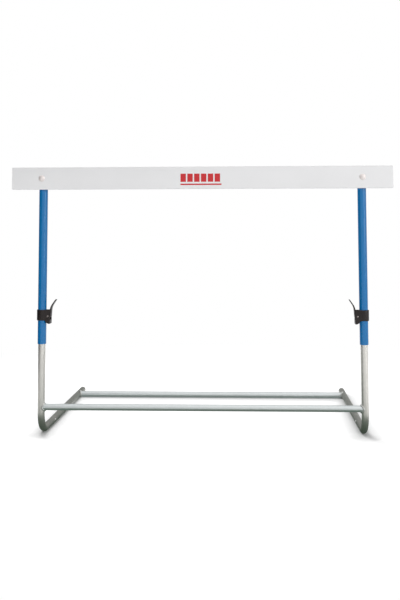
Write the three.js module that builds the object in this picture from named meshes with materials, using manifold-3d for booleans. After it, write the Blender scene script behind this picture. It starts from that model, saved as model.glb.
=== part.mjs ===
// Track hurdle: a flat board on two telescopic uprights that stand on a welded tube base.
// Millimetres, +Z up, X along the board. The board faces -Y and the feet run back to +Y.
// The left side is modelled about its upright's axis with +X towards the middle of the hurdle,
// and the right side is its mirror image.
import * as THREE from 'three';
import { mergeVertices } from 'three/addons/utils/BufferGeometryUtils.js';
import Module from 'manifold-3d';

const wasm = await Module();
wasm.setup();

// Clearances
const fitGap = 0.3; // between pieces that touch or turn on each other
const overrun = 5; // how far a cutting solid runs past what it cuts

// Board
const boardLength = 1200;
const boardHeight = 70;
const boardThickness = 15;
const boardCorner = 4; // radius of the four corners of its face
const boardEdge = 1.5; // rounding of the edges round both faces
const boardTop = 838; // top edge above the floor
const boardOverhang = 95; // of each end past the axis of its upright

// Uprights: the outer tube slides on the base tube
const outerTubeDiameter = 27;
const outerTubeWall = 1.8;
const outerTubeLength = 547;
const outerTubeAboveBolt = 27;

// Base tube: one upright stretch, a bend at the floor and the foot
const baseTubeDiameter = 22.2;
const baseTubeWall = 1.5;
const baseTubeHeight = 632; // top end above the floor
const bendRadius = 60; // of the tube's centreline
const baseDepth = 700; // from the front of the upright to the rear end of the foot

// Cross tubes and their weld beads
const crossTubeDiameter = 20;
const crossTubeWall = 1.5;
const frontCrossAboveBend = 16; // axis above the top of the bend
const rearCrossInset = 88; // axis ahead of the rear end of the foot
const weldLeg = 4;
const weldLegShares = [[1, 0.4], [0.4, 1]]; // the two steps of the bead's outline
const weldFloorGap = 1; // the rear beads stop this far above the floor

// End plug of the foot
const plugHeadLength = 5;
const plugStemLength = 16;

// Foot rivet
const rivetSetback = 160; // behind the upright's axis
const rivetRise = 20; // degrees above level
const rivetHeadDiameter = 6.5;
const rivetHeadHeight = 1.6;
const rivetShankDiameter = 3.2;
const rivetGrip = 3; // length of shank under the head

// Guide bush on top of the base tube
const bushHeadLength = 8;
const bushStemLength = 22;

// Cap in the top of the outer tube
const capHeadLength = 2.5;
const capStemLength = 12;

// Board bolt with its saddle washer, flat washer and nut
const boltDiameter = 8;
const boltHeadDiameter = 20;
const boltHeadHeight = 4.4;
const boltNeckLength = 5; // the square neck under the head
const boltNeckLapShare = 0.25; // of the head's height, how far the neck runs up into the head
const boltOverrun = 3; // thread showing past the nut
const saddleWidth = 20;
const saddleHeight = 24;
const saddleBack = 3; // thickness behind the tube
const washerDiameter = 16;
const washerThickness = 1.6;
const nutAcrossFlats = 13;
const nutLength = 8;
const nutCrownShare = 0.25; // of the nut's length, the round crown behind the hexagon
const nutCrownInset = 0.5; // of the crown from the flats

// Clamp collar and its bracket
const collarAboveTubeEnd = 90; // middle of the collar above the lower end of the outer tube
const collarHeight = 33.4;
const collarWall = 2.6;
const collarBevel = 0.8;
const cheekThickness = 3;
const cheekReach = 27.2; // outer edge of the cheeks from the tube's axis
const cheekRoot = 8; // inner edge of the cheeks from the tube's axis
const cheekInset = 0.8; // of their top edge below the collar's
const cheekDrop = 10.1; // how far they hang below the collar
const flareRoot = 12; // where their lower edge leaves the collar, from the tube's axis
const flareMiddle = 15; // where it turns outwards
const flareFoot = 22; // where it ends in the level foot
const flareShare = 0.63; // of the drop, at the flare's middle
const bracketWall = 2.6;
const bracketLap = 1.5; // how far the floor and the lip run into the cheeks
const windowMargin = 1.3; // round the cam where the collar is open

// Clamp lever with its cam
const pinDiameter = 4;
const pinHeadDiameter = 5.8;
const pinHeadHeight = 1.4;
const pinReach = 20.2; // pin's axis from the tube's axis
const pinDrop = 3.3; // pin's axis below the middle of the collar
const leverWidth = 21.4;
const leverOpenAngle = 100; // degrees
const leverLean = 4.2; // degrees from upright, closed
const leverBossRadius = 8.3;
const leverStraight = 20; // from the pin to where the handle starts to curve
const handleRadius = 35; // of the outer face where the handle bends away from the tube
const handleTurn = 29; // degrees
const handleReach = 18; // from the bend to the tip
const leverRoot = 3.7; // thickness at the straight part
const leverTip = 2.4; // thickness at the tip
const leverCorner = 6; // rounding of the tip seen from the side of the hurdle
const camBackAngle = 110; // degrees from +X where the round back of the cam starts
const camStroke = 0.6; // how far the cam backs off over the opening angle
const stopGap = 0.5; // between the open lever and the lip that stops it

// Brake shoe in its window
const shoeHeight = 16;
const shoeWidth = 12;
const shoeThickness = 3.1;
const shoeWindowGap = 0.4;

// Collar screw
const screwDiameter = 3.5;
const screwHeadDiameter = 7;
const screwHeadHeight = 2.2;

// Numbers of flat sides on round forms
const tubeSides = 32;
const smallSides = 16;
const bendSteps = 8;
const arcSteps = 8;
const domeSteps = 4;

// Derived sizes
const uprightSpacing = boardLength - 2 * boardOverhang;
const outerTubeRadius = outerTubeDiameter / 2;
const outerBoreRadius = outerTubeRadius - outerTubeWall;
const baseTubeRadius = baseTubeDiameter / 2;
const baseBoreRadius = baseTubeRadius - baseTubeWall;
const crossTubeRadius = crossTubeDiameter / 2;
const boltRadius = boltDiameter / 2;
const nutCrownLength = nutLength * nutCrownShare;
const boltHoleRadius = boltRadius + fitGap;
const boltHeight = boardTop - boardHeight / 2;
const outerTubeTop = boltHeight + outerTubeAboveBolt;
const outerTubeFoot = outerTubeTop - outerTubeLength;
const boardBack = -outerTubeRadius - fitGap;
const boardFace = boardBack - boardThickness;
const boltSeat = boardFace - fitGap;
const saddleFront = outerTubeRadius + fitGap;
const saddleRear = outerTubeRadius + saddleBack;
const washerFront = saddleRear + fitGap;
const nutFront = washerFront + washerThickness + fitGap;
const boltEnd = nutFront + nutLength + boltOverrun;
const footRear = baseDepth - baseTubeRadius;
const footTubeEnd = footRear - plugHeadLength - fitGap;
const frontCrossHeight = baseTubeRadius + bendRadius + frontCrossAboveBend;
const rearCrossBack = footRear - rearCrossInset;
const clampHeight = outerTubeFoot + collarAboveTubeEnd;
const collarRadius = outerTubeRadius + fitGap + collarWall;
const cheekInner = leverWidth / 2 + fitGap;
const cheekOuter = cheekInner + cheekThickness;
const pinHoleRadius = pinDiameter / 2 + fitGap;
const shoeInner = baseTubeRadius + fitGap;
const shoeOuter = shoeInner + shoeThickness;
const camClosed = pinReach - shoeOuter - fitGap;
const camOpen = camClosed - camStroke;
const screwHoleRadius = screwDiameter / 2 + fitGap;

const radians = THREE.MathUtils.degToRad;

// Finishes
const blueEnamel = new THREE.MeshStandardMaterial({ color: 0x0d65a5, roughness: 0.35, metalness: 0.1 });
const zincTube = new THREE.MeshStandardMaterial({ color: 0xc2c1bc, roughness: 0.38, metalness: 0.75 });
const weldMetal = new THREE.MeshStandardMaterial({ color: 0xa9a9a5, roughness: 0.55, metalness: 0.7 });
const whiteBoard = new THREE.MeshStandardMaterial({ color: 0xe6e6e7, roughness: 0.55, metalness: 0 });
const blackNylon = new THREE.MeshStandardMaterial({ color: 0x1d1a19, roughness: 0.5, metalness: 0 });
const greyPlug = new THREE.MeshStandardMaterial({ color: 0x3a3a34, roughness: 0.6, metalness: 0 });
const naturalNylon = new THREE.MeshStandardMaterial({ color: 0xd8d4c6, roughness: 0.5, metalness: 0 });
const brightSteel = new THREE.MeshStandardMaterial({ color: 0xc9c9cb, roughness: 0.3, metalness: 0.9 });
const brakeRubber = new THREE.MeshStandardMaterial({ color: 0x2b2a28, roughness: 0.85, metalness: 0 });

// A closed mesh as a solid that can be joined and cut. A mesh that is inside out is turned round.
function solid(geometry) {
  const bare = geometry.clone();
  bare.deleteAttribute('normal');
  bare.deleteAttribute('uv');
  const merged = mergeVertices(bare);
  const corners = merged.attributes.position.array;
  const index = merged.index.array;
  const faces = [];
  let volume = 0;
  const a = new THREE.Vector3();
  const b = new THREE.Vector3();
  const c = new THREE.Vector3();
  for (let i = 0; i < index.length; i += 3) {
    const [p, q, r] = index.slice(i, i + 3);
    if (p !== q && q !== r && r !== p) {
      faces.push(p, q, r);
      a.fromArray(corners, p * 3);
      b.fromArray(corners, q * 3);
      c.fromArray(corners, r * 3);
      volume += a.dot(b.cross(c));
    }
  }
  if (volume < 0) {
    faces.reverse();
  }
  return new wasm.Manifold(new wasm.Mesh({
    numProp: 3,
    vertProperties: new Float32Array(corners),
    triVerts: new Uint32Array(faces),
  }));
}

// The triangles of a solid
function shapeOf(body) {
  const mesh = body.getMesh();
  const geometry = new THREE.BufferGeometry();
  const corners = new Float32Array(mesh.vertProperties);
  geometry.setAttribute('position', new THREE.BufferAttribute(corners, 3));
  geometry.setIndex(new THREE.BufferAttribute(new Uint32Array(mesh.triVerts), 1));
  return geometry;
}

// The mirror image across X = 0
function mirrored(geometry) {
  const image = geometry.clone().applyMatrix4(new THREE.Matrix4().makeScale(-1, 1, 1));
  const index = Array.from(image.index.array);
  image.setIndex(index.reverse());
  return image;
}

// A round form turned from an outline of [radius, height] points, standing along Z
function turned(outline, sides = smallSides) {
  const points = outline.map(([radius, height]) => new THREE.Vector2(radius, height));
  return new THREE.LatheGeometry(points, sides).rotateX(Math.PI / 2);
}

// A rod along Z, and the same laid along +Y and +X
function rodZ(radius, from, to, sides = smallSides) {
  return turned([[0, from], [radius, from], [radius, to], [0, to]], sides);
}

function alongY(geometry) {
  return geometry.rotateX(-Math.PI / 2);
}

function alongX(geometry) {
  return geometry.rotateY(Math.PI / 2);
}

// A tube along Z
function tubeZ(outer, inner, from, to, sides = tubeSides) {
  return turned([[inner, from], [outer, from], [outer, to], [inner, to], [inner, from]], sides);
}

// A block between two corners
function block(x0, x1, y0, y1, z0, z1) {
  const shape = new THREE.BoxGeometry(x1 - x0, y1 - y0, z1 - z0);
  return shape.translate((x0 + x1) / 2, (y0 + y1) / 2, (z0 + z1) / 2);
}

// A flat outline in X and Z, given a thickness from y0 to y1
function slab(shape, y0, y1) {
  const form = new THREE.ExtrudeGeometry(shape, {
    depth: y1 - y0,
    bevelEnabled: false,
    curveSegments: smallSides / 2,
  });
  return form.rotateX(Math.PI / 2).translate(0, y1, 0);
}

// Points of a low dome from its rim to its top, as [radius, height]
function dome(rimRadius, height, foot) {
  const ball = (rimRadius * rimRadius + height * height) / (2 * height);
  const rimAngle = Math.asin(rimRadius / ball);
  const points = [];
  for (let i = 0; i <= domeSteps; i += 1) {
    const angle = rimAngle * (1 - i / domeSteps);
    points.push([ball * Math.sin(angle), foot + ball * Math.cos(angle) - ball + height]);
  }
  return points;
}

// The centreline of the base tube. Its stations are the two ends and the steps of the bend.
class BaseTubeRoute extends THREE.Curve {
  constructor(top, rear) {
    super();
    this.points = [new THREE.Vector3(0, 0, top)];
    this.tangents = [new THREE.Vector3(0, 0, -1)];
    for (let i = 0; i <= bendSteps; i += 1) {
      const angle = (i / bendSteps) * Math.PI / 2;
      const back = bendRadius * (1 - Math.cos(angle));
      const height = baseTubeRadius + bendRadius * (1 - Math.sin(angle));
      this.points.push(new THREE.Vector3(0, back, height));
      this.tangents.push(new THREE.Vector3(0, Math.sin(angle), -Math.cos(angle)));
    }
    this.points.push(new THREE.Vector3(0, rear, baseTubeRadius));
    this.tangents.push(new THREE.Vector3(0, 1, 0));
    this.steps = this.points.length - 1;
  }

  getPointAt(share, target = new THREE.Vector3()) {
    return target.copy(this.points[Math.round(share * this.steps)]);
  }

  getTangentAt(share, target = new THREE.Vector3()) {
    return target.copy(this.tangents[Math.round(share * this.steps)]);
  }
}

// A round rod or tube along the base tube's centreline
function alongBase(outer, inner, top, rear) {
  const section = new THREE.Shape();
  section.absarc(0, 0, outer, 0, 2 * Math.PI, false);
  if (inner > 0) {
    const bore = new THREE.Path();
    bore.absarc(0, 0, inner, 0, 2 * Math.PI, true);
    section.holes.push(bore);
  }
  const route = new BaseTubeRoute(top, rear);
  return new THREE.ExtrudeGeometry(section, {
    steps: route.steps,
    extrudePath: route,
    curveSegments: tubeSides / 2,
  });
}

// Board: a lath with rounded corners and edges, with a hole for each bolt
function boardShape() {
  const half = boardLength / 2;
  const r = boardCorner;
  const shape = new THREE.Shape();
  shape.moveTo(-half + r, -boardHeight);
  shape.lineTo(half - r, -boardHeight);
  shape.absarc(half - r, -boardHeight + r, r, -Math.PI / 2, 0, false);
  shape.absarc(half - r, -r, r, 0, Math.PI / 2, false);
  shape.absarc(-half + r, -r, r, Math.PI / 2, Math.PI, false);
  shape.absarc(-half + r, -boardHeight + r, r, Math.PI, 1.5 * Math.PI, false);
  const lath = new THREE.ExtrudeGeometry(shape, {
    depth: boardThickness - 2 * boardEdge,
    bevelThickness: boardEdge,
    bevelSize: boardEdge,
    bevelOffset: -boardEdge,
    bevelSegments: 2,
    curveSegments: arcSteps / 4,
  });
  lath.rotateX(Math.PI / 2).translate(0, boardBack - boardEdge, boardTop);
  let body = solid(lath);
  for (const x of [-uprightSpacing / 2, uprightSpacing / 2]) {
    const hole = alongY(rodZ(boltHoleRadius, boardFace - overrun, boardBack + overrun));
    body = body.subtract(solid(hole.translate(x, 0, boltHeight)));
    const square = block(
      x - boltHoleRadius, x + boltHoleRadius,
      boardFace - overrun, boardFace + boltNeckLength + fitGap,
      boltHeight - boltHoleRadius, boltHeight + boltHoleRadius,
    );
    body = body.subtract(solid(square));
  }
  return shapeOf(body);
}

// Outer tube: holes for the bolt and the collar screw, and the window for the brake shoe
function outerTubeShape() {
  let body = solid(tubeZ(outerTubeRadius, outerBoreRadius, outerTubeFoot, outerTubeTop));
  const boltHole = alongY(rodZ(boltHoleRadius, -outerTubeDiameter, outerTubeDiameter));
  body = body.subtract(solid(boltHole.translate(0, 0, boltHeight)));
  const screwHole = alongY(rodZ(screwHoleRadius, 0, outerTubeDiameter));
  body = body.subtract(solid(screwHole.translate(0, 0, clampHeight)));
  const shoeHeightHere = clampHeight - pinDrop;
  const side = shoeWidth / 2 + shoeWindowGap;
  const rise = shoeHeight / 2 + shoeWindowGap;
  const window = block(0, outerTubeDiameter, -side, side, shoeHeightHere - rise, shoeHeightHere + rise);
  return shapeOf(body.subtract(solid(window)));
}

function topCapShape() {
  const stem = outerBoreRadius - fitGap;
  const seat = outerTubeTop + fitGap;
  return shapeOf(solid(turned([
    [0, outerTubeTop - capStemLength],
    [stem, outerTubeTop - capStemLength],
    [stem, seat],
    [outerTubeRadius, seat],
    ...dome(outerTubeRadius, capHeadLength, seat).slice(0, -1),
    [0, seat + capHeadLength],
  ], tubeSides)));
}

// Base tube: upright stretch, bend and foot, with a hole for the foot rivet
function baseTubeShape() {
  const body = solid(alongBase(baseTubeRadius, baseBoreRadius, baseTubeHeight, footTubeEnd));
  const holeRadius = rivetShankDiameter / 2 + fitGap;
  const hole = onFoot(rodZ(holeRadius, baseBoreRadius - overrun, baseTubeRadius + overrun));
  return shapeOf(body.subtract(solid(hole)));
}

// Puts a form that stands along Z on the foot's axis where the rivet is
function onFoot(geometry) {
  geometry.rotateY(Math.PI / 2 - radians(rivetRise));
  return geometry.translate(0, rivetSetback, baseTubeRadius);
}

function footRivetShape() {
  const seat = baseTubeRadius + fitGap;
  return shapeOf(solid(onFoot(turned([
    [0, seat - rivetGrip],
    [rivetShankDiameter / 2, seat - rivetGrip],
    [rivetShankDiameter / 2, seat],
    ...dome(rivetHeadDiameter / 2, rivetHeadHeight, seat).slice(0, -1),
    [0, seat + rivetHeadHeight],
  ]))));
}

function footPlugShape() {
  const stem = baseBoreRadius - fitGap;
  const seat = footTubeEnd + fitGap;
  const plug = turned([
    [0, footTubeEnd - plugStemLength],
    [stem, footTubeEnd - plugStemLength],
    [stem, seat],
    ...dome(baseTubeRadius, plugHeadLength, seat).slice(0, -1),
    [0, footRear],
  ], tubeSides);
  return shapeOf(solid(alongY(plug).translate(0, 0, baseTubeRadius)));
}

function guideBushShape() {
  const stem = baseBoreRadius - fitGap;
  const guide = outerBoreRadius - fitGap;
  const seat = baseTubeHeight + fitGap;
  return shapeOf(solid(turned([
    [0, baseTubeHeight - bushStemLength],
    [stem, baseTubeHeight - bushStemLength],
    [stem, seat],
    [guide, seat],
    [guide, seat + bushHeadLength],
    [0, seat + bushHeadLength],
  ], tubeSides)));
}

// Cross tubes: coped to the base tubes they meet
function crossTubeShape(height, back) {
  const half = uprightSpacing / 2;
  let body = solid(alongX(tubeZ(crossTubeRadius, crossTubeRadius - crossTubeWall, -half, half)));
  const base = alongBase(baseTubeRadius + fitGap, 0, baseTubeHeight, footRear);
  base.translate(0, -back, -height);
  body = body.subtract(solid(base.clone().translate(-half, 0, 0)));
  body = body.subtract(solid(base.clone().translate(half, 0, 0)));
  return shapeOf(body);
}

// A weld bead round the end of a cross tube, in steps that follow both tubes
function weldShape(height, back) {
  const reach = baseTubeDiameter + crossTubeDiameter;
  const place = (geometry) => solid(geometry.translate(0, back, height));
  let bead = null;
  for (const [crossShare, baseShare] of weldLegShares) {
    const sleeve = place(alongX(rodZ(crossTubeRadius + weldLeg * crossShare, 0, reach)));
    const skin = solid(alongBase(baseTubeRadius + weldLeg * baseShare, 0, baseTubeHeight, footRear));
    const step = sleeve.intersect(skin);
    bead = bead ? bead.add(step) : step;
  }
  const cross = place(alongX(rodZ(crossTubeRadius + fitGap, -reach, reach, tubeSides)));
  const base = solid(alongBase(baseTubeRadius + fitGap, 0, baseTubeHeight, footRear));
  const floor = block(-reach, reach, back - reach, back + reach, -reach, weldFloorGap);
  return shapeOf(bead.subtract(cross).subtract(base).subtract(solid(floor)));
}

// Board bolt: domed head, square neck and shank, along +Y
function boardBoltShape() {
  const head = turned([
    [0, -boltSeat],
    ...dome(boltHeadDiameter / 2, boltHeadHeight, -boltSeat).slice(0, -1),
    [0, -boltSeat + boltHeadHeight],
  ], tubeSides).rotateX(Math.PI / 2);
  const square = block(
    -boltRadius, boltRadius,
    boltSeat - boltHeadHeight * boltNeckLapShare, boltSeat + boltNeckLength,
    -boltRadius, boltRadius,
  );
  const shank = alongY(rodZ(boltRadius, boltSeat, boltEnd));
  const body = solid(head).add(solid(square)).add(solid(shank));
  return shapeOf(body);
}

function saddleWasherShape() {
  const half = saddleWidth / 2;
  const rise = saddleHeight / 2;
  const front = Math.sqrt(saddleFront ** 2 - half ** 2);
  let body = solid(block(-half, half, front, saddleRear, -rise, rise));
  body = body.subtract(solid(rodZ(saddleFront, -rise - overrun, rise + overrun, tubeSides)));
  const hole = alongY(rodZ(boltHoleRadius, 0, saddleRear + overrun));
  return shapeOf(body.subtract(solid(hole)));
}

function flatWasherShape() {
  const ring = tubeZ(washerDiameter / 2, boltHoleRadius, washerFront, washerFront + washerThickness);
  return shapeOf(solid(alongY(ring)));
}

function nutShape() {
  const hexagon = nutAcrossFlats / Math.sqrt(3);
  const prism = alongY(rodZ(hexagon, nutFront, nutFront + nutLength - nutCrownLength, 6));
  const crownRadius = nutAcrossFlats / 2 - nutCrownInset;
  const crown = alongY(rodZ(crownRadius, nutFront, nutFront + nutLength, tubeSides));
  const bore = alongY(rodZ(boltHoleRadius, nutFront - overrun, nutFront + nutLength + overrun));
  return shapeOf(solid(prism).add(solid(crown)).subtract(solid(bore)));
}

// The lower face of the open lever is a line this far below the pin at a given reach from it
function openLeverDrop(reach) {
  const slope = radians(90 - leverLean - leverOpenAngle);
  return (leverBossRadius - reach * Math.sin(slope)) / Math.cos(slope);
}

// Outline of one cheek of the bracket, in X and Z from the middle of the collar
function cheekOutline() {
  const top = collarHeight / 2;
  const foot = -top - cheekDrop;
  const shape = new THREE.Shape();
  shape.moveTo(cheekRoot, top - cheekInset);
  shape.lineTo(cheekRoot, -top);
  shape.lineTo(flareRoot, -top);
  shape.lineTo(flareMiddle, -top - cheekDrop * flareShare);
  shape.lineTo(flareFoot, foot);
  shape.lineTo(cheekReach, foot);
  shape.lineTo(cheekReach, top - cheekInset);
  return shape;
}

// Clamp collar: a ring on the outer tube with two cheeks, a floor and a lip that stops the lever
function collarShape() {
  const top = collarHeight / 2;
  const foot = -top - cheekDrop;
  const bore = outerTubeRadius + fitGap;
  const ring = turned([
    [bore - collarBevel, -top],
    [collarRadius - collarBevel, -top],
    [collarRadius, -top + collarBevel],
    [collarRadius, top - collarBevel],
    [collarRadius - collarBevel, top],
    [bore - collarBevel, top],
    [bore - collarBevel, -top],
  ], tubeSides);
  let body = solid(ring);
  const halfWindow = leverBossRadius + windowMargin;
  const window = block(
    cheekRoot, cheekReach,
    -cheekInner, cheekInner,
    -pinDrop - halfWindow, -pinDrop + halfWindow,
  );
  body = body.subtract(solid(window));
  const cheek = cheekOutline();
  body = body.add(solid(slab(cheek, -cheekOuter, -cheekInner)));
  body = body.add(solid(slab(cheek, cheekInner, cheekOuter)));
  const lipTop = -pinDrop - openLeverDrop(cheekReach - pinReach) - stopGap;
  const lapped = cheekInner + bracketLap;
  const lip = block(
    cheekReach - bracketWall, cheekReach,
    -lapped, lapped,
    foot, lipTop,
  );
  const floor = block(
    flareFoot, cheekReach,
    -lapped, lapped,
    foot, foot + bracketWall,
  );
  body = body.add(solid(lip)).add(solid(floor));
  body = body.subtract(solid(rodZ(bore, foot - overrun, top + overrun, tubeSides)));
  const pinHole = alongY(rodZ(pinHoleRadius, -cheekOuter - overrun, cheekOuter + overrun));
  body = body.subtract(solid(pinHole.translate(pinReach, 0, -pinDrop)));
  const screwHole = alongY(rodZ(screwHoleRadius, 0, collarRadius + overrun));
  return shapeOf(body.subtract(solid(screwHole)));
}

// Clamp screw behind the collar: pan head and a shank that ends inside the outer tube's wall
function collarScrewShape() {
  const seat = collarRadius + fitGap;
  const tip = outerBoreRadius + fitGap;
  const shank = screwDiameter / 2;
  return shapeOf(solid(alongY(turned([
    [0, tip],
    [shank, tip],
    [shank, seat],
    ...dome(screwHeadDiameter / 2, screwHeadHeight, seat).slice(0, -1),
    [0, seat + screwHeadHeight],
  ]))));
}

// Clamp pin: a rivet through both cheeks, with a low domed head at each end
function clampPinShape() {
  const seat = cheekOuter + fitGap;
  const shank = pinDiameter / 2;
  const head = dome(pinHeadDiameter / 2, pinHeadHeight, seat).slice(0, -1);
  const lower = head.map(([radius, height]) => [radius, -height]).reverse();
  return shapeOf(solid(alongY(turned([
    [0, -seat - pinHeadHeight],
    ...lower,
    [shank, -seat],
    [shank, seat],
    ...head,
    [0, seat + pinHeadHeight],
  ]))));
}

// Outline of the lever in X and Z from the pin: the cam, the boss and the curved handle
function leverOutline() {
  const shape = new THREE.Shape();
  const polar = (radius, degrees) => [
    radius * Math.cos(radians(degrees)),
    radius * Math.sin(radians(degrees)),
  ];
  shape.moveTo(...polar(camClosed, camBackAngle));
  for (let i = 1; i < arcSteps; i += 1) {
    shape.lineTo(...polar(camClosed, camBackAngle + (180 - camBackAngle) * i / arcSteps));
  }
  for (let i = 0; i <= arcSteps; i += 1) {
    const share = i / arcSteps;
    shape.lineTo(...polar(camClosed - camStroke * share, 180 + leverOpenAngle * share));
  }
  const flatTurn = THREE.MathUtils.radToDeg(Math.acos(camOpen / leverBossRadius));
  const flatEnd = 180 + leverOpenAngle + flatTurn;
  for (let i = 0; i <= arcSteps; i += 1) {
    const share = i / arcSteps;
    shape.lineTo(...polar(leverBossRadius, flatEnd + (360 - leverLean - flatEnd) * share));
  }
  const face = handleFace();
  for (const station of face) {
    shape.lineTo(station.x, station.z);
  }
  for (const station of face.slice().reverse()) {
    shape.lineTo(
      station.x - station.thickness * Math.cos(station.lean),
      station.z + station.thickness * Math.sin(station.lean),
    );
  }
  const start = polar(camClosed, camBackAngle);
  const back = face[0].x - leverRoot;
  shape.quadraticCurveTo(back, start[1], ...start);
  const bore = new THREE.Path();
  bore.absarc(0, 0, pinHoleRadius, 0, 2 * Math.PI, true);
  shape.holes.push(bore);
  return shape;
}

// Stations on the outer face of the handle: place, lean from upright in radians, and thickness
function handleFace() {
  const lean = radians(leverLean);
  const startX = leverBossRadius * Math.cos(lean) + leverBossRadius * Math.sin(lean);
  const startZ = leverBossRadius * (Math.cos(lean) - Math.sin(lean));
  const straight = leverStraight - leverBossRadius;
  const stations = [{ x: startX, z: startZ, lean, thickness: leverRoot }];
  const bendX = startX + straight * Math.sin(lean);
  const bendZ = startZ + straight * Math.cos(lean);
  const bendLength = handleRadius * radians(handleTurn);
  const taper = (leverTip - leverRoot) / (bendLength + handleReach);
  for (let i = 0; i <= arcSteps; i += 1) {
    const share = i / arcSteps;
    const turn = lean + radians(handleTurn) * share;
    stations.push({
      x: bendX + handleRadius * (Math.cos(lean) - Math.cos(turn)),
      z: bendZ + handleRadius * (Math.sin(turn) - Math.sin(lean)),
      lean: turn,
      thickness: leverRoot + taper * bendLength * share,
    });
  }
  const bent = stations[stations.length - 1];
  stations.push({
    x: bent.x + handleReach * Math.sin(bent.lean),
    z: bent.z + handleReach * Math.cos(bent.lean),
    lean: bent.lean,
    thickness: leverTip,
  });
  return stations;
}

// Clamp lever, with the corners of its tip rounded in the other view
function leverShape() {
  const half = leverWidth / 2;
  const handle = handleFace();
  const tip = handle[handle.length - 1];
  const top = tip.z + tip.thickness * Math.sin(tip.lean);
  const bottom = -leverBossRadius - overrun;
  const plan = new THREE.Shape();
  plan.moveTo(-half, bottom);
  plan.lineTo(half, bottom);
  plan.lineTo(half, top - leverCorner);
  plan.absarc(half - leverCorner, top - leverCorner, leverCorner, 0, Math.PI / 2, false);
  plan.absarc(-half + leverCorner, top - leverCorner, leverCorner, Math.PI / 2, Math.PI, false);
  const reach = tip.x + overrun;
  const round = slab(plan, -reach, reach).rotateZ(Math.PI / 2);
  return shapeOf(solid(slab(leverOutline(), -half, half)).intersect(solid(round)));
}

// Brake shoe: flat behind for the cam, hollowed to the base tube in front
function brakeShoeShape() {
  const half = shoeWidth / 2;
  const rise = shoeHeight / 2;
  const front = Math.sqrt(shoeInner ** 2 - half ** 2);
  const body = solid(block(front, shoeOuter, -half, half, -rise, rise));
  const tube = rodZ(shoeInner, -rise - overrun, rise + overrun, tubeSides);
  return shapeOf(body.subtract(solid(tube)));
}

const hurdle = new THREE.Group();
// The origin is on the floor below the middle of the whole hurdle's box
const hurdleFront = boltSeat - boltHeadHeight;
hurdle.position.y = -(hurdleFront + footRear) / 2;

const middle = new THREE.Group();
hurdle.add(middle);
const leftSide = new THREE.Group();
leftSide.position.x = -uprightSpacing / 2;
hurdle.add(leftSide);
const rightSide = new THREE.Group();
rightSide.position.x = uprightSpacing / 2;
hurdle.add(rightSide);

function add(group, name, geometry, material) {
  const mesh = new THREE.Mesh(geometry, material);
  mesh.name = name;
  group.add(mesh);
  return mesh;
}

// Adds a piece to the left side and its mirror image to the right side
function addPair(name, geometry, material, x = 0, y = 0, z = 0) {
  add(leftSide, 'left_' + name, geometry, material).position.set(x, y, z);
  add(rightSide, 'right_' + name, mirrored(geometry), material).position.set(-x, y, z);
}

// Base
addPair('base_tube', baseTubeShape(), zincTube);
addPair('guide_bush', guideBushShape(), naturalNylon);
addPair('foot_plug', footPlugShape(), greyPlug);
addPair('foot_rivet', footRivetShape(), brightSteel);
const frontCross = add(middle, 'front_cross_tube', crossTubeShape(frontCrossHeight, 0), zincTube);
frontCross.position.z = frontCrossHeight;
const rearCross = add(middle, 'rear_cross_tube', crossTubeShape(baseTubeRadius, rearCrossBack), zincTube);
rearCross.position.set(0, rearCrossBack, baseTubeRadius);
addPair('front_weld', weldShape(frontCrossHeight, 0), weldMetal);
addPair('rear_weld', weldShape(baseTubeRadius, rearCrossBack), weldMetal);

// Board and uprights
add(middle, 'hurdle_board', boardShape(), whiteBoard);
addPair('upright_tube', outerTubeShape(), blueEnamel);
addPair('top_cap', topCapShape(), blackNylon);
addPair('board_bolt', boardBoltShape(), brightSteel, 0, 0, boltHeight);
addPair('saddle_washer', saddleWasherShape(), blackNylon, 0, 0, boltHeight);
addPair('flat_washer', flatWasherShape(), brightSteel, 0, 0, boltHeight);
addPair('board_nut', nutShape(), brightSteel, 0, 0, boltHeight);

// Clamps
const pinHeight = clampHeight - pinDrop;
addPair('clamp_collar', collarShape(), blackNylon, 0, 0, clampHeight);
addPair('collar_screw', collarScrewShape(), brightSteel, 0, 0, clampHeight);
addPair('clamp_pin', clampPinShape(), brightSteel, pinReach, 0, pinHeight);
addPair('clamp_lever', leverShape(), blackNylon, pinReach, 0, pinHeight);
addPair('brake_shoe', brakeShoeShape(), brakeRubber, 0, 0, pinHeight);

export default hurdle;
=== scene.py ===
from math import atan2, cos, pi, radians, sin, sqrt

import bmesh
import bpy
from mathutils import Matrix, Vector


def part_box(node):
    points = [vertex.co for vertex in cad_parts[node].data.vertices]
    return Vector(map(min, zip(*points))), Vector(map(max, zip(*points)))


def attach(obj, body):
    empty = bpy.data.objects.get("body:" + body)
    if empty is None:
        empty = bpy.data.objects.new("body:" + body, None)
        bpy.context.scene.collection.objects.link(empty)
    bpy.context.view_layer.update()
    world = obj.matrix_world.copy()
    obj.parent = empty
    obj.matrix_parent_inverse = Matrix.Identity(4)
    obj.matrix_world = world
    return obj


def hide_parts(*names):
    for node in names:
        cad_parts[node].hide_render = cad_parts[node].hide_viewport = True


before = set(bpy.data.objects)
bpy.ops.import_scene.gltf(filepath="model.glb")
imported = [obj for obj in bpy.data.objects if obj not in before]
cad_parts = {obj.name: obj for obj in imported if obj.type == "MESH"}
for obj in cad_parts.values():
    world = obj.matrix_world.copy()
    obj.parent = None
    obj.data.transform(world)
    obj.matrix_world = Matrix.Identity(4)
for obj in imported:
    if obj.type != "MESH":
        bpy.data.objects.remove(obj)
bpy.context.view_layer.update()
scene = bpy.context.scene
scene.view_settings.view_transform = "Standard"

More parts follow.
